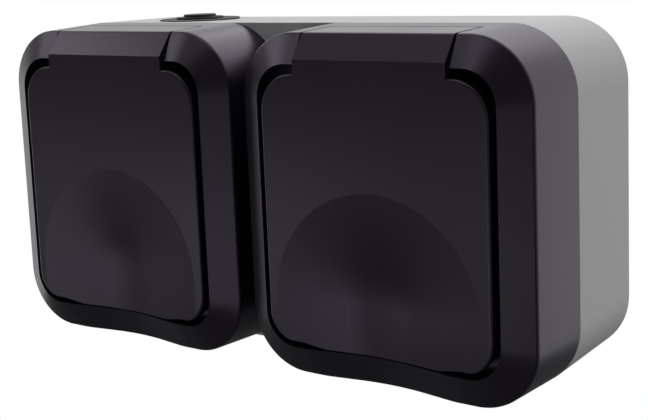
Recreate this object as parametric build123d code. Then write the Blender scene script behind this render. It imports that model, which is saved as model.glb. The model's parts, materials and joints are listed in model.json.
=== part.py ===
from build123d import *
import os
from math import hypot

# Double surface-mounted weatherproof socket, in millimetres.
# The wall is the plane y = 0, the front faces -Y, and a height is measured out from the wall.

# Back box
gang_gap = 2.9
box_depth = 30.0
box_taper = 0.35
box_wall = 3.0
back_wall = 2.6
web_wall = 2.6
wire_pass_radius = 3.5
fixing_spacing_x = 132.0
fixing_spacing_z = 60.0
fixing_radius = 2.25
fixing_boss_radius = 5.0
fixing_boss_rise = 3.0

# Cable grommet on top of the box
grommet_neck = 9.0
grommet_radius = 11.4
grommet_sink = 0.9
grommet_flange = 1.1
grommet_step_radius = 6.7
grommet_step = 0.5
grommet_nipple_radius = 4.6
grommet_nipple = 0.7
grommet_skin = 1.0

# Front cover
cover_width = 78.4
cover_height = 84.0
cover_corner = 15.4
cover_draft = 0.85
cover_depth = 20.0
cover_wall = 2.4
edge_round = 1.0
rim_rise = 3.9
rim_width = 7.05
rim_width_top = 7.2
rim_width_bottom = 7.6
plate_drop = 5.9
plate_wall = 2.4

# Lid
lid_proud = 0.8
lid_wall = 2.4
lid_gap = 1.65
shoulder_gap = 2.2
lid_top_corner = 9.0
lid_bottom_corner = 7.0
lid_edge = 0.6
chin_inset = 8.5
chin_run = 6.5
chin_gap = 0.4
chin_round = 14.0
rib_width = 4.0
rib_rise = 2.1

# Thumb channel that runs down the lid
channel_radius = 28.0
channel_top = 5.6
channel_slope = 0.14
channel_floor = 4.5
channel_flat = 0.5

# Finger scoop that carries the channel on through the cover's lower rim
scoop_half = 20.0
scoop_drop = 3.6
scoop_round = 50.0
scoop_shoulder = 45.0
scoop_lip_slope = 0.04

# Hinge
hinge_setback = 6.0
hinge_drop = 5.4
tab_half = 20.5
tab_crease = 6.0
tab_reach = 11.7
tab_wall = 1.8
knuckle_radius = 4.0
knuckle_inner = 12.5
pin_radius = 1.25
pin_grip = 3.0
trough_wall = 1.6
lid_swing_gap = 0.4

# Closing spring
spring_wire = 0.5
spring_turns = 5
spring_lid_arm = 2.7

# Seals
seal_width = 1.5
seal_depth = 1.5
lid_seal_width = 3.0
lid_seal_margin = 1.5
lid_seal_drop = 6.1

# Plug recess
recess_radius = 19.5
recess_depth = 17.5
recess_wall = 2.0
recess_floor = 2.4
recess_proud = 0.6
pin_spacing = 19.0
pin_hole_radius = 2.6
guide_rib_width = 5.0
guide_rib_depth = 2.0
guide_rib_drop = 3.0
mouth_chamfer = 0.8

# Contact base
base_radius = 20.0
base_depth = 18.0
ear_reach = 30.5
ear_half = 4.5
ear_wall = 3.0
ear_drop = 10.0
base_screw_x = 26.0

# Contacts and earth strap
sleeve_wall = 0.8
terminal_size = 8.0
terminal_z = -12.5
terminal_inset = 2.0
strap_width = 8.0
strap_wall = 0.8
strap_tail = 7.5
clip_press = 1.4

# Screws
screw_radius = 1.5
screw_head_radius = 2.9
screw_head = 2.0
screw_slot = 0.8
screw_slot_depth = 1.0
post_radius = 4.0
cover_screw_x = 22.5
cover_screw_z = 19.5
terminal_screw_radius = 1.6
terminal_screw_length = 4.5

# Clearances
running_fit = 0.04
seat_fit = 0.02
slip_fit = 0.1
side_gap = 0.6
lift_gap = 0.3
insert_gap = 0.4
cut_over = 1.0

# Heights out from the wall
joint_level = box_depth
edge_level = joint_level + cover_depth
rim_level = edge_level + rim_rise
lid_level = rim_level + lid_proud
lid_back = lid_level - lid_wall
plate_level = rim_level - plate_drop
plate_back = plate_level - plate_wall
rib_back = lid_back - rib_rise
insert_front = plate_level + recess_proud
floor_front = insert_front - recess_depth
floor_back = floor_front - recess_floor
base_back = floor_back - base_depth
ear_front = floor_back - ear_drop
ear_back = ear_front - ear_wall
hinge_level = edge_level - hinge_setback

# Outlines of one outlet
gang_width = cover_width + 2 * cover_draft
gang_height = cover_height + 2 * cover_draft
gang_corner = cover_corner + cover_draft
cavity_inset = cover_wall + cover_draft
top_edge = cover_height / 2
opening_width = cover_width - 2 * rim_width
opening_top = top_edge - rim_width_top
opening_bottom = rim_width_bottom - top_edge
opening_height = opening_top - opening_bottom
opening_middle = (opening_top + opening_bottom) / 2
opening_corner = cover_corner - rim_width
lid_half = opening_width / 2 - lid_gap
lid_shoulder = opening_top - shoulder_gap
lid_bottom = opening_bottom + lid_gap
chin_bottom = opening_bottom + chin_gap

# Whole box
gang_pitch = gang_width + gang_gap
box_width = gang_pitch + gang_width
gang_centres = (-gang_pitch / 2, gang_pitch / 2)
grommet_level = box_depth / 2
grommet_seat = gang_height / 2 - grommet_sink

# Hinge places, seen from the side
hinge_z = top_edge - hinge_drop
crease_z = top_edge - tab_crease
tab_back_level = edge_level - tab_reach
tab_back_z = top_edge + cover_draft * tab_reach / cover_depth
notch_half = tab_half + side_gap
trough_radius = hypot(hinge_level - tab_back_level, tab_back_z - hinge_z) + lid_swing_gap
trough_floor = hinge_z - knuckle_radius - lid_swing_gap
block_half = notch_half + pin_grip + trough_wall

# Thumb channel, seen from the front and in section
channel_middle = channel_top - channel_radius
channel_depth = channel_slope * (channel_radius - channel_floor)
channel_round = 2 * (channel_floor - channel_flat) / channel_slope


def level(height):
    """Plane parallel to the wall, at a height out from it."""
    return Plane.XZ.offset(height)


def slab(outline, low, high):
    """An outline, drawn as seen from the front, raised from one height to another."""
    return extrude(level(low) * outline, amount=high - low)


def rod(radius, x, z, low, high):
    return slab(Pos(x, z) * Circle(radius), low, high)


def bar(half_width, points):
    """A side section, given as (height, z) points, carried to both sides of the middle."""
    outline = Polyline([(-height, z) for height, z in points], close=True)
    return extrude(Plane.YZ * make_face(outline), amount=half_width, both=True)


def axle(radius, half_length, height=hinge_level, z=hinge_z):
    """A cylinder along X."""
    return Pos(0, -height, z) * Cylinder(radius, 2 * half_length, rotation=(0, 90, 0))


def upright(radius, low, high):
    """A cylinder along Z."""
    return Pos(0, 0, (low + high) / 2) * Cylinder(radius, high - low)


def at_height(shape, height):
    """A shape's edges that lie at one height."""
    return shape.edges().filter_by_position(Axis.Y, -height, -height)


def inset_outline(inset):
    """Outline of one outlet at the joint between cover and box, drawn in by an inset."""
    corner = gang_corner - inset
    return RectangleRounded(gang_width - 2 * inset, gang_height - 2 * inset, corner)


def four_corners(x, z):
    return [(sx * x, sz * z) for sx in (-1, 1) for sz in (-1, 1)]


def screw(x, z, head_top, length):
    """Pan-head screw pointing at the wall, with a cross slot in its head."""
    head_low = head_top - screw_head
    body = rod(screw_head_radius, x, z, head_low, head_top)
    body += rod(screw_radius, x, z, head_low - length, head_low)
    reach = 2 * screw_head_radius - 2 * screw_slot
    for size in ((reach, screw_slot), (screw_slot, reach)):
        body -= slab(Pos(x, z) * Rectangle(*size), head_top - screw_slot_depth, head_top + cut_over)
    return body


def back_box():
    # A drafted block for each outlet, widest at the joint with its cover, and the bridge between them
    body = loft([
        level(0) * Rectangle(gang_pitch, gang_height - 2 * box_taper),
        level(box_depth) * Rectangle(gang_pitch, gang_height),
    ], ruled=True)
    for x in gang_centres:
        back = level(0) * Pos(x, 0) * inset_outline(box_taper)
        front = level(box_depth) * Pos(x, 0) * inset_outline(0)
        body += loft([back, front], ruled=True)
    # One mouth for each outlet, opening into a common cavity with a web
    mouth_low = box_depth - box_wall
    cavity = RectangleRounded(
        box_width - 2 * box_wall, gang_height - 2 * box_wall, gang_corner - box_wall
    )
    body -= slab(cavity, back_wall, mouth_low)
    for x in gang_centres:
        body -= slab(Pos(x, 0) * inset_outline(box_wall), mouth_low, box_depth + cut_over)
    web = slab(Rectangle(web_wall, gang_height - 2 * box_wall), back_wall, mouth_low)
    wire_level = (back_wall + mouth_low) / 2
    body += web - axle(wire_pass_radius, gang_pitch / 4, wire_level, 0)
    # Groove for each cover's seal
    for x in gang_centres:
        groove = inset_outline((box_wall - seal_width) / 2) - inset_outline((box_wall + seal_width) / 2)
        body -= slab(Pos(x, 0) * groove, box_depth - seal_depth, box_depth + cut_over)
    # Posts for the cover screws and the base screws
    for x in gang_centres:
        for dx, z in four_corners(cover_screw_x, cover_screw_z):
            post = rod(post_radius, x + dx, z, back_wall, joint_level)
            body += post - rod(screw_radius + seat_fit, x + dx, z, back_wall, joint_level + cut_over)
        for dx in (-base_screw_x, base_screw_x):
            post = rod(post_radius, x + dx, 0, back_wall, ear_back)
            body += post - rod(screw_radius + seat_fit, x + dx, 0, back_wall, ear_back + cut_over)
    # Wall-fixing holes in raised bosses
    for x, z in four_corners(fixing_spacing_x / 2, fixing_spacing_z / 2):
        body += rod(fixing_boss_radius, x, z, back_wall, back_wall + fixing_boss_rise)
        body -= rod(fixing_radius, x, z, -cut_over, back_wall + fixing_boss_rise + cut_over)
    # Sunk seat and hole for the cable grommet
    seat = upright(grommet_radius + slip_fit, grommet_seat, gang_height)
    hole = upright(grommet_neck + slip_fit, 0, grommet_seat)
    return body - Pos(gang_centres[0], -grommet_level, 0) * (seat + hole)


def cable_grommet():
    """Stepped rubber entry, gripping the box's top wall between two flanges, with a thin skin to pierce."""
    low = gang_height / 2 - box_wall - slip_fit
    step_low = grommet_seat + grommet_flange
    nipple_low = step_low + grommet_step
    nipple_top = nipple_low + grommet_nipple
    profile = Polyline(
        (0, nipple_top - grommet_skin),
        (0, nipple_top),
        (grommet_nipple_radius, nipple_top),
        (grommet_nipple_radius, nipple_low),
        (grommet_step_radius, nipple_low),
        (grommet_step_radius, step_low),
        (grommet_radius, step_low),
        (grommet_radius, grommet_seat),
        (grommet_neck, grommet_seat),
        (grommet_neck, low),
        (grommet_neck + grommet_skin, low),
        (grommet_neck + grommet_skin, low - grommet_skin),
        (grommet_neck - grommet_skin, low - grommet_skin),
        (grommet_neck - grommet_skin, step_low - grommet_skin),
        (grommet_nipple_radius - grommet_skin, step_low - grommet_skin),
        (grommet_nipple_radius - grommet_skin, nipple_top - grommet_skin),
        close=True,
    )
    body = revolve(Plane.XZ * make_face(profile), Axis.Z)
    return Pos(gang_centres[0], -grommet_level, 0) * body


def mirrored(point):
    return (-point[0], point[1])


def channel_half(lead):
    """Right half of the channel's section, for its round upper end."""
    edge = (channel_radius + lead / channel_slope, lead)
    corner = (channel_floor, -channel_depth)
    middle = (0, -channel_depth)
    flank = FilletPolyline(edge, corner, middle, radius=channel_round)
    return make_face([flank, Polyline(middle, (0, lead), edge)])


def channel_whole(lead):
    """Section of the channel's straight run: sloping flanks rounded into a flat floor."""
    edge = (channel_radius + lead / channel_slope, lead)
    corner = (channel_floor, -channel_depth)
    flanks = FilletPolyline(edge, corner, mirrored(corner), mirrored(edge), radius=channel_round)
    return make_face([flanks, Line(mirrored(edge), edge)])


def thumb_channel(surface, low):
    """Cutter below a surface height: a round upper end, then a straight valley down to z = low."""
    centre = (0, -surface, channel_middle)
    section = Plane(centre, x_dir=(1, 0, 0), z_dir=(0, 0, -1))
    round_end = revolve(section * channel_half(cut_over), Axis(centre, (0, 1, 0)))
    run = extrude(section * channel_whole(cut_over), amount=channel_middle - low)
    return round_end + run


def finger_scoop():
    """A soft wave carried down the sloping lower rim and past both its edges."""
    slope = Vector(0, rim_rise, -rim_width_bottom)
    start = Vector(0, -rim_level, opening_bottom) - slope / 2
    section = Plane(start, x_dir=(1, 0, 0), z_dir=(0, 0, -1))
    lip = (scoop_half + rim_rise / scoop_lip_slope, rim_rise)
    shoulder = (scoop_half, 0)
    wave = FilletPolyline(
        mirrored(lip), mirrored(shoulder), (0, -scoop_drop), shoulder, lip,
        radius=[scoop_shoulder, scoop_round, scoop_shoulder],
    )
    face = make_face([wave, Line(lip, mirrored(lip))])
    return extrude(section * face, amount=2 * slope.length, dir=slope.normalized())


def ahead_of_hinge(half_width, low):
    """Everything in front of the hinge pin and above z = low."""
    return bar(half_width, [
        (hinge_level, low),
        (2 * rim_level, low),
        (2 * rim_level, 2 * top_edge),
        (hinge_level, 2 * top_edge),
    ])


def hinge_block():
    """Walls of the trough that the hinge turns in."""
    block_low = hinge_z - trough_radius - trough_wall
    behind = axle(trough_radius + trough_wall, block_half)
    behind -= ahead_of_hinge(block_half + cut_over, -top_edge)
    front_wall = bar(block_half, [
        (hinge_level, block_low),
        (plate_level, block_low),
        (plate_level, top_edge),
        (hinge_level, top_edge),
    ])
    return behind + front_wall


def hinge_trough():
    """Room for the knuckles, the turning tab and the notch in the rim."""
    behind = axle(trough_radius, notch_half) - ahead_of_hinge(notch_half + cut_over, -top_edge)
    return behind + ahead_of_hinge(notch_half, trough_floor)


def front_cover():
    # Drafted side wall and the bevel that leads in to the lid opening
    front = RectangleRounded(cover_width, cover_height, cover_corner)
    opening = Pos(0, opening_middle) * RectangleRounded(opening_width, opening_height, opening_corner)
    side = loft([level(joint_level) * inset_outline(0), level(edge_level) * front], ruled=True)
    bevel = loft([level(edge_level) * front, level(rim_level) * opening], ruled=True)
    outer = side + bevel
    outer = fillet(at_height(outer, edge_level), edge_round)
    body = outer - slab(opening, plate_level, rim_level + cut_over)
    body -= slab(inset_outline(cavity_inset), joint_level - cut_over, plate_back)
    # Hinge trough inside the top edge
    body += hinge_block() & outer
    body -= hinge_trough()
    body -= axle(pin_radius + seat_fit, notch_half + pin_grip)
    # Sleeves that carry the cover screws down to the box
    for x, z in four_corners(cover_screw_x, cover_screw_z):
        body += rod(post_radius, x, z, joint_level, plate_back)
        body -= rod(screw_radius + slip_fit, x, z, joint_level - cut_over, plate_level + cut_over)
        body -= rod(screw_head_radius + slip_fit, x, z, plate_level - screw_head, plate_level + cut_over)
    # Round hole for the plug recess, and the finger scoop in the lower rim
    hole_radius = recess_radius + recess_wall + insert_gap
    body -= rod(hole_radius, 0, 0, plate_back - cut_over, plate_level + cut_over)
    return body - finger_scoop()


def lid_outline():
    """The lid's edge, with rounded corners and a chin that closes the gap over the finger scoop."""
    chin_outer = lid_half - chin_inset
    chin_half = chin_outer - chin_run
    points = [
        (-lid_half, lid_shoulder),
        (lid_half, lid_shoulder),
        (lid_half, lid_bottom),
        (chin_outer, lid_bottom),
        (chin_half, chin_bottom),
        (-chin_half, chin_bottom),
        (-chin_outer, lid_bottom),
        (-lid_half, lid_bottom),
    ]
    corners = [lid_top_corner] * 2 + [lid_bottom_corner] + [chin_round] * 4 + [lid_bottom_corner]
    return make_face(FilletPolyline(points, radius=corners, close=True))


def lid_seal_outline(inset):
    """Ring on the lid's back that carries the seal."""
    half = lid_half - lid_seal_margin - inset
    top = lid_shoulder - lid_seal_drop - inset
    bottom = lid_bottom + lid_seal_margin + inset
    corner = lid_bottom_corner - inset
    return Pos(0, (top + bottom) / 2) * RectangleRounded(2 * half, top - bottom, corner)


def hinge_tab():
    """Bevelled tab that folds over the cover's top, with two knuckles on the pin."""
    tab = bar(tab_half, [
        (lid_level, lid_shoulder - lid_wall),
        (lid_level, crease_z),
        (edge_level, top_edge),
        (tab_back_level, tab_back_z),
        (tab_back_level, tab_back_z - tab_wall),
        (edge_level - tab_wall / 2, top_edge - tab_wall),
        (lid_back, crease_z - tab_wall / 2),
        (lid_back, lid_shoulder - lid_wall),
    ])
    ridge = tab.edges().sort_by_distance((0, -edge_level, top_edge))[0]
    tab = fillet(ridge, edge_round)
    knuckle = axle(knuckle_radius, tab_half) + bar(tab_half, [
        (lid_back, crease_z),
        (edge_level - tab_wall / 2, top_edge - tab_wall / 2),
        (hinge_level - knuckle_radius, top_edge - tab_wall / 2),
        (hinge_level - knuckle_radius, hinge_z),
        (hinge_level + knuckle_radius, hinge_z - knuckle_radius / 2),
    ])
    knuckle -= axle(pin_radius + running_fit, tab_half + cut_over)
    middle = slab(Rectangle(2 * knuckle_inner, 4 * top_edge), 0, 2 * lid_level)
    return tab + (knuckle - middle)


def lid():
    # Face with a softened front edge
    plate = slab(lid_outline(), lid_back, lid_level)
    plate = fillet(plate.faces().sort_by(Axis.Y)[0].edges(), lid_edge)
    # The top shoulders are relieved behind, so that they swing clear of the rim
    lip_radius = hypot(rim_level - hinge_level, opening_top - hinge_z) + lid_swing_gap
    relief = axle(lip_radius, lid_half) - slab(Rectangle(2 * tab_half, 4 * top_edge), 0, 2 * lid_level)
    plate -= relief
    # Back of the thumb channel, and the ring that carries the seal
    bulge = thumb_channel(lid_back, chin_bottom - cut_over) & slab(lid_outline(), rib_back, lid_level)
    ring = slab(lid_seal_outline(0) - lid_seal_outline(rib_width), rib_back, lid_back)
    body = plate + bulge + ring + hinge_tab()
    return body - thumb_channel(lid_level, chin_bottom - cut_over)


def lid_gasket():
    margin = (rib_width - lid_seal_width) / 2
    ring = lid_seal_outline(margin) - lid_seal_outline(margin + lid_seal_width)
    return slab(ring, plate_level + lift_gap, rib_back)


def cover_gasket():
    outer = inset_outline((box_wall - seal_width) / 2 + slip_fit)
    inner = inset_outline((box_wall + seal_width) / 2 - slip_fit)
    return slab(outer - inner, joint_level - seal_depth, joint_level)


def cover_screws():
    length = plate_level - screw_head - back_wall - cut_over
    return [screw(x, z, plate_level, length) for x, z in four_corners(cover_screw_x, cover_screw_z)]


def hinge_pin():
    return axle(pin_radius, notch_half + pin_grip)


def lid_spring():
    """Close-wound torsion spring on the pin: a ridge for each turn, and an arm at each end."""
    bore = pin_radius + running_fit
    crest = bore + 2 * spring_wire
    pitch = 2 * spring_wire + slip_fit
    start = -pitch * spring_turns / 2
    points = [(start, bore), (start, bore + spring_wire)]
    for turn in range(spring_turns):
        points.append((start + (turn + 0.5) * pitch, crest))
        points.append((start + (turn + 1) * pitch, bore + spring_wire))
    points.append((-start, bore))
    coil = revolve(Plane.XZ * make_face(Polyline(points, close=True)), Axis.X)
    reach = crest - spring_wire + seat_fit
    end = -start - pitch / 2
    drop = hinge_z - trough_floor
    coil += Pos(end, reach, spring_lid_arm / 2) * Cylinder(spring_wire, spring_lid_arm)
    coil += Pos(-end, -reach, -drop / 2) * Cylinder(spring_wire, drop)
    return Pos(0, -hinge_level, hinge_z) * coil


def pin_places():
    return (-pin_spacing / 2, pin_spacing / 2)


def socket_insert():
    outer_radius = recess_radius + recess_wall
    dish = rod(outer_radius, 0, 0, floor_back, insert_front)
    dish = chamfer(dish.faces().sort_by(Axis.Y)[0].edges(), mouth_chamfer)
    dish -= rod(recess_radius, 0, 0, floor_front, insert_front + cut_over)
    # Side ribs that guide the plug
    for side in (-1, 1):
        rib_x = side * (recess_radius - guide_rib_depth / 2)
        rib = slab(
            Pos(rib_x, 0) * Rectangle(guide_rib_depth + recess_wall, guide_rib_width),
            floor_front,
            insert_front - guide_rib_drop,
        )
        dish += rib & rod(outer_radius, 0, 0, floor_back, insert_front)
    # Pin holes, centre screw and slots for the earth clips
    for x in pin_places():
        dish -= rod(pin_hole_radius, x, 0, floor_back - cut_over, floor_front + cut_over)
    dish -= rod(screw_radius + slip_fit, 0, 0, floor_back - cut_over, floor_front + cut_over)
    slot = Rectangle(strap_width + 2 * insert_gap, 2 * recess_wall + 2 * clip_press)
    for side in (-1, 1):
        dish -= slab(Pos(0, side * outer_radius) * slot, floor_back - cut_over, plate_back + slip_fit)
    return dish


def socket_base():
    body = rod(base_radius, 0, 0, base_back, floor_back)
    body += slab(Rectangle(2 * ear_reach, 2 * ear_half), ear_back, ear_front)
    # Sockets for the contacts, open below for the terminals
    sleeve_radius = pin_hole_radius + sleeve_wall + slip_fit
    terminal = terminal_size + 2 * slip_fit
    terminal_low = base_back + terminal_inset - slip_fit
    for x in pin_places():
        body -= rod(sleeve_radius, x, 0, terminal_low, floor_back + cut_over)
        top = terminal_z + terminal / 2
        pocket = Pos(x, top - base_radius / 2) * Rectangle(terminal, base_radius)
        body -= slab(pocket, terminal_low, terminal_low + terminal)
        link = Pos(x, top / 2) * Rectangle(terminal / 2, -top + terminal / 2)
        body -= slab(link, terminal_low, terminal_low + terminal / 2)
    # Seat for the earth strap and the screw holes
    seat = Rectangle(strap_width + 2 * slip_fit, 4 * base_radius)
    body -= slab(seat, floor_back - strap_wall, floor_back + cut_over)
    body -= rod(screw_radius + seat_fit, 0, 0, base_back + terminal_inset, floor_back + cut_over)
    for x in (-base_screw_x, base_screw_x):
        body -= rod(screw_radius + slip_fit, x, 0, ear_back - cut_over, ear_front + cut_over)
    return body


def base_screws():
    length = ear_front - back_wall - cut_over
    return [screw(x, 0, ear_front + screw_head, length) for x in (-base_screw_x, base_screw_x)]


def insert_screw():
    length = floor_front - base_back - terminal_inset - cut_over
    return screw(0, 0, floor_front + screw_head, length)


def contact(x):
    """Brass sleeve for one plug pin, with a terminal block below it."""
    sleeve_low = base_back + terminal_inset
    middle = sleeve_low + terminal_size / 2
    body = rod(pin_hole_radius + sleeve_wall, x, 0, sleeve_low, floor_back)
    block = Pos(x, terminal_z) * Rectangle(terminal_size, terminal_size)
    body += slab(block, sleeve_low, sleeve_low + terminal_size)
    link_top = terminal_z + terminal_size / 2
    link = Pos(x, link_top / 2) * Rectangle(terminal_size / 2, -link_top)
    body += slab(link, sleeve_low, middle)
    body -= rod(pin_hole_radius, x, 0, sleeve_low + sleeve_wall, floor_back + cut_over)
    low = terminal_z - terminal_size / 2
    hole = Cylinder(terminal_screw_radius + seat_fit, 2 * terminal_screw_length)
    return body - Pos(x, -middle, low) * hole


def terminal_screw(x):
    """Clamp screw that enters a terminal block from below."""
    middle = base_back + terminal_inset + terminal_size / 2
    low = terminal_z - terminal_size / 2
    place = Pos(x, -middle, low)
    body = place * Pos(0, 0, -screw_head / 2) * Cylinder(screw_head_radius, screw_head)
    shank = Cylinder(terminal_screw_radius, terminal_screw_length)
    body += place * Pos(0, 0, terminal_screw_length / 2) * shank
    slot = Box(2 * screw_head_radius + cut_over, screw_slot, 2 * screw_slot_depth)
    return body - place * Pos(0, 0, -screw_head) * slot


def earth_tail_z():
    return recess_radius + recess_wall + strap_tail


def terminal_screws():
    earth = screw(0, earth_tail_z(), floor_back + screw_head, terminal_screw_length)
    return [terminal_screw(x) for x in pin_places()] + [earth]


def earth_strap():
    """Bent strip behind the recess, with a sprung clip at each end and a terminal tail at the top."""
    outer_radius = recess_radius + recess_wall
    low = floor_back - strap_wall
    clip_top = plate_back - slip_fit
    knee = (floor_front + clip_top) / 2
    out = outer_radius + slip_fit
    clip_in = recess_radius - clip_press
    clip = [
        (low, 0),
        (low, out + strap_wall),
        (floor_front, out + strap_wall),
        (knee, clip_in + strap_wall),
        (clip_top - strap_wall, out),
        (clip_top, out - strap_wall),
        (knee, clip_in),
        (floor_front, out),
        (floor_back, out),
        (floor_back, 0),
    ]
    half = strap_width / 2
    body = bar(half, clip) + bar(half, [(height, -z) for height, z in clip])
    tail_top = earth_tail_z() + half
    body += slab(Pos(0, (out + tail_top) / 2) * Rectangle(strap_width, tail_top - out), low, floor_back)
    body -= rod(screw_radius + slip_fit, 0, earth_tail_z(), low - cut_over, floor_back + cut_over)
    return body - rod(screw_radius + slip_fit, 0, 0, low - cut_over, floor_back + cut_over)


def write(name, shapes):
    solids = shapes if isinstance(shapes, list) else [shapes]
    export_step(Compound(children=solids) if len(solids) > 1 else solids[0], f"parts/{name}.step")


os.makedirs("parts", exist_ok=True)
write("back_box", back_box())
write("cable_grommet", cable_grommet())
left_pin, right_pin = pin_places()
outlet_pieces = {
    "front_cover": front_cover(),
    "cover_gasket": cover_gasket(),
    "cover_screws": cover_screws(),
    "lid": lid(),
    "lid_gasket": lid_gasket(),
    "hinge_pin": hinge_pin(),
    "lid_spring": lid_spring(),
    "socket_insert": socket_insert(),
    "insert_screw": insert_screw(),
    "socket_base": socket_base(),
    "base_screws": base_screws(),
    "line_contact": contact(left_pin),
    "neutral_contact": contact(right_pin),
    "earth_strap": earth_strap(),
    "terminal_screws": terminal_screws(),
}
for side, x in zip(("left", "right"), gang_centres):
    for name, shapes in outlet_pieces.items():
        solids = shapes if isinstance(shapes, list) else [shapes]
        write(f"{side}_{name}", [Pos(x, 0, 0) * solid for solid in solids])
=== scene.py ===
import json
import math

import bpy
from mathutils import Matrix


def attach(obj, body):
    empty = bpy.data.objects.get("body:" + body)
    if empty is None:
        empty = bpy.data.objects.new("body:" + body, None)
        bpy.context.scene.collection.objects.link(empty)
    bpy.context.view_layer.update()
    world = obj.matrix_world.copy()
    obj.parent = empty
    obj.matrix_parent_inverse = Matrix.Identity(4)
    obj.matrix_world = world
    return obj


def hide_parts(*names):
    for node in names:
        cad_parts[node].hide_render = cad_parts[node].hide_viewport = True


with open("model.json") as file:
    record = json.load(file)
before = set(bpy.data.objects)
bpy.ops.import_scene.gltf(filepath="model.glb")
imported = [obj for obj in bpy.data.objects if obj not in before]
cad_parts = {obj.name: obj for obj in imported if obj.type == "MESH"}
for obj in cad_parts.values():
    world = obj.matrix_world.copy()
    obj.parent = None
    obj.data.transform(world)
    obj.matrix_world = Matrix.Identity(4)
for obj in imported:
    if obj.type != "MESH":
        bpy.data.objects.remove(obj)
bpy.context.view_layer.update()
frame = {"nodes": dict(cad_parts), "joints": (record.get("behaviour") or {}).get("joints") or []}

# Back box: one light grey tray for both outlets, injection moulded in a tough
# satin plastic and screwed flat to the wall. Its skin has a fine even grain.

CLOUDS_PER_METRE = 38.0
CLOUD_DETAIL = 4.0
GRAIN_DETAIL = 2.0
GRAIN_STRENGTH = 0.35
PLAIN_SHEEN = (1.0, 1.0, 1.0)
nodes = frame["nodes"]


def mottle(tree, pattern, dark, light, rough):
    """Lets a pattern shift the skin's colour and its roughness between two limits."""
    skin = tree.nodes["Principled BSDF"]
    colour = tree.nodes.new("ShaderNodeMix")
    colour.data_type = "RGBA"
    colour.inputs["A"].default_value = (*dark, 1.0)
    colour.inputs["B"].default_value = (*light, 1.0)
    tree.links.new(pattern.outputs["Fac"], colour.inputs["Factor"])
    tree.links.new(colour.outputs["Result"], skin.inputs["Base Color"])

    gloss = tree.nodes.new("ShaderNodeMapRange")
    gloss.inputs["To Min"].default_value = rough[0]
    gloss.inputs["To Max"].default_value = rough[1]
    tree.links.new(pattern.outputs["Fac"], gloss.inputs["Value"])
    tree.links.new(gloss.outputs["Result"], skin.inputs["Roughness"])


def moulded_finish(name, dark, light, rough, grain_size, grain_depth, sheen=PLAIN_SHEEN):
    """Moulded plastic or rubber: faint flow clouds, a slightly uneven gloss and a fine grain."""
    material = bpy.data.materials.new(name)
    material.use_nodes = True
    tree = material.node_tree
    skin = tree.nodes["Principled BSDF"]
    skin.inputs["Specular Tint"].default_value = (*sheen, 1.0)
    place = tree.nodes.new("ShaderNodeTexCoord")

    clouds = tree.nodes.new("ShaderNodeTexNoise")
    clouds.inputs["Scale"].default_value = CLOUDS_PER_METRE
    clouds.inputs["Detail"].default_value = CLOUD_DETAIL
    tree.links.new(place.outputs["Object"], clouds.inputs["Vector"])
    mottle(tree, clouds, dark, light, rough)

    grain = tree.nodes.new("ShaderNodeTexNoise")
    grain.inputs["Scale"].default_value = 1.0 / grain_size
    grain.inputs["Detail"].default_value = GRAIN_DETAIL
    tree.links.new(place.outputs["Object"], grain.inputs["Vector"])

    bump = tree.nodes.new("ShaderNodeBump")
    bump.inputs["Strength"].default_value = GRAIN_STRENGTH
    bump.inputs["Distance"].default_value = grain_depth
    tree.links.new(grain.outputs["Fac"], bump.inputs["Height"])
    tree.links.new(bump.outputs["Normal"], skin.inputs["Normal"])
    return material


def dress(node, material):
    """Gives a carried-over piece its finish."""
    for place in nodes[node].material_slots:
        place.material = material


box_plastic = moulded_finish(
    "light_grey_box_plastic",
    dark=(0.43, 0.415, 0.43),
    light=(0.47, 0.455, 0.47),
    rough=(0.42, 0.5),
    grain_size=0.0006,
    grain_depth=0.00003,
)
dress("back_box", box_plastic)

# Cable grommet: a stepped plug of soft black rubber pressed into the box's top
# wall, closed by a thin skin until a cable is pushed through it.

grommet_rubber = moulded_finish(
    "black_grommet_rubber",
    dark=(0.016, 0.016, 0.017),
    light=(0.024, 0.024, 0.025),
    rough=(0.6, 0.72),
    grain_size=0.0004,
    grain_depth=0.00004,
)
dress("cable_grommet", grommet_rubber)

# Contact bases: pale moulded blocks screwed to posts in the box, which hold the
# brass sleeves and terminals of each outlet.

SIDES = ("left", "right")
base_plastic = moulded_finish(
    "pale_base_plastic",
    dark=(0.62, 0.60, 0.55),
    light=(0.68, 0.66, 0.60),
    rough=(0.5, 0.6),
    grain_size=0.0005,
    grain_depth=0.00003,
)
for side in SIDES:
    dress(f"{side}_socket_base", base_plastic)

# Contacts, earth straps, screws and hinge pins: stamped brass sleeves, bent strip,
# turned screws and drawn wire, bright from the press or plated.

STREAKS_PER_METRE = 900.0
STREAK_DETAIL = 3.0


def worked_metal(name, dark, light, rough, stretch):
    """Bright worked metal: fine streaks from the tool, and a slightly uneven plated colour."""
    material = bpy.data.materials.new(name)
    material.use_nodes = True
    tree = material.node_tree
    tree.nodes["Principled BSDF"].inputs["Metallic"].default_value = 1.0
    place = tree.nodes.new("ShaderNodeTexCoord")
    drawn = tree.nodes.new("ShaderNodeMapping")
    drawn.inputs["Scale"].default_value = stretch
    tree.links.new(place.outputs["Object"], drawn.inputs["Vector"])

    streaks = tree.nodes.new("ShaderNodeTexNoise")
    streaks.inputs["Scale"].default_value = STREAKS_PER_METRE
    streaks.inputs["Detail"].default_value = STREAK_DETAIL
    tree.links.new(drawn.outputs["Vector"], streaks.inputs["Vector"])
    mottle(tree, streaks, dark, light, rough)
    return material


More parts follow.
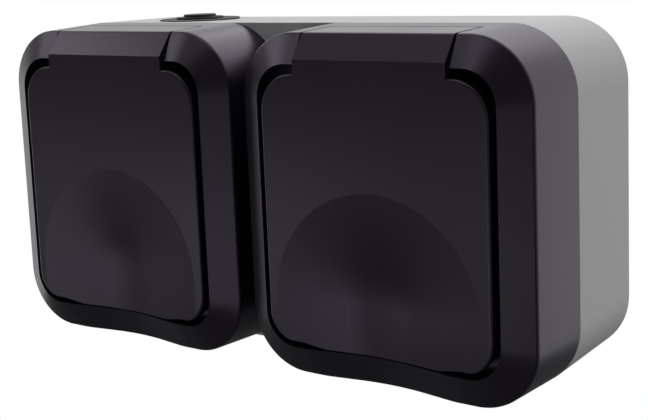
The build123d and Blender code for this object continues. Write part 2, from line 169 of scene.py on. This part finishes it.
contact_brass = worked_metal(
    "contact_brass",
    dark=(0.55, 0.38, 0.14),
    light=(0.72, 0.53, 0.22),
    rough=(0.22, 0.36),
    stretch=(1.0, 0.1, 1.0),
)
strap_steel = worked_metal(
    "strap_steel",
    dark=(0.52, 0.52, 0.50),
    light=(0.66, 0.66, 0.64),
    rough=(0.25, 0.4),
    stretch=(0.15, 1.0, 1.0),
)
screw_steel = worked_metal(
    "plated_screw_steel",
    dark=(0.58, 0.58, 0.55),
    light=(0.72, 0.72, 0.70),
    rough=(0.22, 0.34),
    stretch=(1.0, 1.0, 1.0),
)
wire_steel = worked_metal(
    "drawn_wire_steel",
    dark=(0.50, 0.50, 0.49),
    light=(0.66, 0.66, 0.65),
    rough=(0.2, 0.3),
    stretch=(0.1, 1.0, 1.0),
)
for side in SIDES:
    dress(f"{side}_line_contact", contact_brass)
    dress(f"{side}_neutral_contact", contact_brass)
    dress(f"{side}_earth_strap", strap_steel)
    for screws in ("cover_screws", "insert_screw", "base_screws", "terminal_screws"):
        dress(f"{side}_{screws}", screw_steel)
    dress(f"{side}_hinge_pin", wire_steel)

# Plug recesses: round black dishes with guide ribs and pin holes, each held to
# its base by one screw in the middle.

insert_plastic = moulded_finish(
    "black_recess_plastic",
    dark=(0.0180, 0.0165, 0.0200),
    light=(0.0260, 0.0240, 0.0285),
    rough=(0.38, 0.5),
    grain_size=0.0005,
    grain_depth=0.00003,
    sheen=(0.92, 0.84, 1.0),
)
for side in SIDES:
    dress(f"{side}_socket_insert", insert_plastic)

# Seals: soft dark rubber rings, one squeezed between each cover and the box and
# one in the back of each lid.

seal_rubber = moulded_finish(
    "dark_seal_rubber",
    dark=(0.022, 0.022, 0.023),
    light=(0.032, 0.032, 0.033),
    rough=(0.65, 0.78),
    grain_size=0.0004,
    grain_depth=0.00004,
)
for side in SIDES:
    dress(f"{side}_cover_gasket", seal_rubber)
    dress(f"{side}_lid_gasket", seal_rubber)

# Front covers: black satin mouldings screwed to the box over each outlet, with a
# bevelled rim around the lid and a finger scoop in the lower rim.

BLACK_DARK = (0.0090, 0.0074, 0.0110)
BLACK_LIGHT = (0.0122, 0.0102, 0.0149)
BLACK_SHEEN = (0.89, 0.76, 1.0)
cover_plastic = moulded_finish(
    "black_cover_plastic",
    dark=BLACK_DARK,
    light=BLACK_LIGHT,
    rough=(0.28, 0.36),
    grain_size=0.0005,
    grain_depth=0.00002,
    sheen=BLACK_SHEEN,
)
for side in SIDES:
    dress(f"{side}_front_cover", cover_plastic)

# Closing springs: a few close turns of drawn steel wire around each hinge pin, with
# one straight leg down on the cover and one hooked leg up under the lid's tab.

SPRING_TURNS = 4.25
SPRING_LENGTH = 0.0044
SPRING_RADIUS = 0.00179
WIRE_RADIUS = 0.00048
WIRE_SIDES = 12
STEPS_PER_TURN = 20
COVER_LEG = 0.0044
LID_LEG = 0.0011
LEG_BEND = 0.0007
LEG_BEND_STEPS = 6
LEG_END = 0.0002
SMOOTH_ANGLE = math.radians(40.0)
hinge_places = {joint["name"]: joint["pos_m"] for joint in frame["joints"]}
left_hinge = hinge_places["left_lid_hinge"]
right_hinge = hinge_places["right_lid_hinge"]


def select_open_end(mesh, right_end):
    """Selects the open ring of wire at one end of the coil, in edit mode."""
    bpy.ops.mesh.select_mode(type="VERT")
    bpy.ops.mesh.select_all(action="DESELECT")
    bpy.ops.mesh.select_non_manifold()
    bpy.ops.object.mode_set(mode="OBJECT")
    for vertex in mesh.vertices:
        vertex.select = vertex.select and (vertex.co.x > 0) == right_end
    for edge in mesh.edges:
        edge.select = all(mesh.vertices[corner].select for corner in edge.vertices)
    bpy.ops.object.mode_set(mode="EDIT")


# One ring of wire is wound along the pin into the coil.
bpy.ops.object.select_all(action="DESELECT")
bpy.ops.mesh.primitive_circle_add(vertices=WIRE_SIDES, radius=WIRE_RADIUS, location=left_hinge)
left_spring = bpy.context.object
left_spring.name = "left_closing_spring"
bpy.ops.object.mode_set(mode="EDIT")
bpy.ops.transform.translate(value=(-SPRING_LENGTH / 2, -SPRING_RADIUS, 0.0))
bpy.ops.object.mode_set(mode="OBJECT")
bpy.ops.object.modifier_add(type="SCREW")
winding = left_spring.modifiers[-1]
winding.axis = "X"
winding.angle = -2 * math.pi * SPRING_TURNS
winding.screw_offset = SPRING_LENGTH
winding.steps = round(SPRING_TURNS * STEPS_PER_TURN)
winding.render_steps = winding.steps
bpy.ops.object.modifier_apply(modifier=winding.name)

# The leg on the cover runs straight down.
bpy.ops.object.mode_set(mode="EDIT")
select_open_end(left_spring.data, False)
bpy.ops.mesh.extrude_region_move(TRANSFORM_OT_translate={"value": (0.0, 0.0, -COVER_LEG)})
bpy.ops.mesh.edge_face_add()

# The leg under the lid's tab runs back and then hooks up.
select_open_end(left_spring.data, True)
bpy.ops.mesh.extrude_region_move(TRANSFORM_OT_translate={"value": (0.0, LID_LEG, 0.0)})
bend_centre = (
    left_hinge[0] + SPRING_LENGTH / 2,
    left_hinge[1] + LID_LEG,
    left_hinge[2] + SPRING_RADIUS + LEG_BEND,
)
bpy.ops.mesh.spin(steps=LEG_BEND_STEPS, angle=-math.pi / 2, center=bend_centre, axis=(1.0, 0.0, 0.0))
bpy.ops.mesh.extrude_region_move(TRANSFORM_OT_translate={"value": (0.0, 0.0, LEG_END)})
bpy.ops.mesh.edge_face_add()
bpy.ops.mesh.select_all(action="SELECT")
bpy.ops.mesh.normals_make_consistent(inside=False)
bpy.ops.object.mode_set(mode="OBJECT")
bpy.ops.object.shade_smooth_by_angle(angle=SMOOTH_ANGLE)

# The right spring is a copy of the left one.
bpy.ops.object.duplicate()
right_spring = bpy.context.object
right_spring.name = "right_closing_spring"
right_spring.location = right_hinge
for side, spring in (("left", left_spring), ("right", right_spring)):
    bpy.ops.object.select_all(action="DESELECT")
    spring.select_set(True)
    bpy.context.view_layer.objects.active = spring
    bpy.ops.object.transform_apply(location=True, rotation=True, scale=True)
    spring.data.materials.append(wire_steel)
    dress(f"{side}_lid_spring", wire_steel)
    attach(spring, "housing")
    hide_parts(f"{side}_lid_spring")

# Lids: black satin flaps that hinge on a steel pin under the cover's top edge,
# with a shallow thumb channel moulded into the face.

lid_plastic = moulded_finish(
    "black_lid_plastic",
    dark=BLACK_DARK,
    light=BLACK_LIGHT,
    rough=(0.27, 0.34),
    grain_size=0.0005,
    grain_depth=0.000015,
    sheen=BLACK_SHEEN,
)
for side in SIDES:
    dress(f"{side}_lid", lid_plastic)

# Studio: a floor well below the part, which the camera sees as white paper, and a
# surround that is white behind the part and falls off to dark in front of it.
# Softboxes hang over it, and low strips and small lamps stand in front and at the left.

FLOOR_PLACE = (0.0, -0.25, -0.8)
FLOOR_SIZE = 3.5
FLOOR_SHADE = (0.12, 0.12, 0.12, 1.0)
FLOOR_ROUGHNESS = 0.9
WHITE = (1.0, 1.0, 1.0, 1.0)
WHITE_STRENGTH = 1.0
bpy.ops.mesh.primitive_plane_add(size=FLOOR_SIZE, location=FLOOR_PLACE)
floor = bpy.context.object
floor.name = "studio_floor"
floor_paper = bpy.data.materials.new("pale_floor_paper")
floor_paper.use_nodes = True
floor_tree = floor_paper.node_tree
paper = floor_tree.nodes["Principled BSDF"]
paper.inputs["Base Color"].default_value = FLOOR_SHADE
paper.inputs["Roughness"].default_value = FLOOR_ROUGHNESS
glow = floor_tree.nodes.new("ShaderNodeEmission")
glow.inputs["Color"].default_value = WHITE
glow.inputs["Strength"].default_value = WHITE_STRENGTH
seen = floor_tree.nodes.new("ShaderNodeLightPath")
blend = floor_tree.nodes.new("ShaderNodeMixShader")
floor_tree.links.new(seen.outputs["Is Camera Ray"], blend.inputs["Fac"])
floor_tree.links.new(paper.outputs["BSDF"], blend.inputs[1])
floor_tree.links.new(glow.outputs["Emission"], blend.inputs[2])
floor_tree.links.new(blend.outputs["Shader"], floor_tree.nodes["Material Output"].inputs["Surface"])
floor.data.materials.append(floor_paper)

SURROUND_FRONT = 0.09
SURROUND_BACK = 1.0
FALL_OFF_FRONT = -0.4
FALL_OFF_BACK = 0.5
world = bpy.data.worlds.new("studio_surround")
bpy.context.scene.world = world
world.use_nodes = True
sky = world.node_tree
facing = sky.nodes.new("ShaderNodeTexCoord")
axes = sky.nodes.new("ShaderNodeSeparateXYZ")
sky.links.new(facing.outputs["Generated"], axes.inputs["Vector"])
fall_off = sky.nodes.new("ShaderNodeMapRange")
fall_off.interpolation_type = "SMOOTHSTEP"
fall_off.inputs["From Min"].default_value = FALL_OFF_FRONT
fall_off.inputs["From Max"].default_value = FALL_OFF_BACK
fall_off.inputs["To Min"].default_value = SURROUND_FRONT
fall_off.inputs["To Max"].default_value = SURROUND_BACK
sky.links.new(axes.outputs["Y"], fall_off.inputs["Value"])
surround = sky.nodes["Background"]
surround.inputs["Color"].default_value = WHITE
sky.links.new(fall_off.outputs["Result"], surround.inputs["Strength"])
backdrop = sky.nodes.new("ShaderNodeBackground")
backdrop.inputs["Color"].default_value = WHITE
backdrop.inputs["Strength"].default_value = WHITE_STRENGTH
ray = sky.nodes.new("ShaderNodeLightPath")
choose = sky.nodes.new("ShaderNodeMixShader")
sky.links.new(ray.outputs["Is Camera Ray"], choose.inputs["Fac"])
sky.links.new(surround.outputs["Background"], choose.inputs[1])
sky.links.new(backdrop.outputs["Background"], choose.inputs[2])
sky.links.new(choose.outputs["Shader"], sky.nodes["World Output"].inputs["Surface"])


def soft_lamp(name, place, width, height, power):
    """A softbox that faces the part, and that the camera doesn't see."""
    data = bpy.data.lights.new(name, "AREA")
    data.shape = "RECTANGLE"
    data.size = width
    data.size_y = height
    data.energy = power
    lamp = bpy.data.objects.new(name, data)
    bpy.context.scene.collection.objects.link(lamp)
    lamp.location = place
    lamp.rotation_euler = lamp.location.to_track_quat("Z", "Y").to_euler()
    lamp.visible_camera = False


soft_lamp("key_softbox", place=(-0.73, -0.39, 0.56), width=0.5, height=0.28, power=1.02)
soft_lamp("overhead_softbox", place=(0.0, 0.1, 0.6), width=0.6, height=0.6, power=1.09)
soft_lamp("back_softbox", place=(0.0, 0.75, 0.70), width=1.0, height=0.3, power=1.35)
soft_lamp("front_softbox", place=(-0.13, -0.45, 0.58), width=0.25, height=0.2, power=0.39)
soft_lamp("right_strip", place=(0.19, -1.08, -0.30), width=1.1, height=0.2, power=1.04)
soft_lamp("middle_strip", place=(-0.57, -0.94, -0.27), width=0.4, height=0.16, power=0.14)
soft_lamp("middle_spot", place=(-0.15, -0.80, -0.24), width=0.14, height=0.14, power=0.12)
soft_lamp("left_spot", place=(-0.27, -0.38, -0.12), width=0.1, height=0.1, power=0.027)
soft_lamp("left_softbox", place=(-0.47, -0.4, -0.11), width=0.18, height=0.12, power=0.034)
soft_lamp("far_left_strip", place=(-0.87, -0.15, -0.17), width=0.13, height=0.4, power=0.5)

# Camera: close to the part, in front of it and to its right, a little above it, and
# turned back to the left so that both outlets show.

SENSOR_WIDTH_MM = 36.0
FOCAL_LENGTH_MM = 67.851
FRAME_SHIFT = -0.11379
NEAR_CLIP = 0.01
CAMERA_PLACE = (0.192969, -0.280966, 0.060483)
CAMERA_TURN_DEG = (81.4137, 2.3368, 35.5053)
lens = bpy.data.cameras.new("front_camera")
lens.sensor_fit = "HORIZONTAL"
lens.sensor_width = SENSOR_WIDTH_MM
lens.lens = FOCAL_LENGTH_MM
lens.shift_y = FRAME_SHIFT
lens.clip_start = NEAR_CLIP
camera = bpy.data.objects.new("front_camera", lens)
bpy.context.scene.collection.objects.link(camera)
camera.location = CAMERA_PLACE
camera.rotation_euler = [math.radians(angle) for angle in CAMERA_TURN_DEG]
bpy.context.scene.camera = camera
bpy.context.scene.view_settings.view_transform = "Standard"
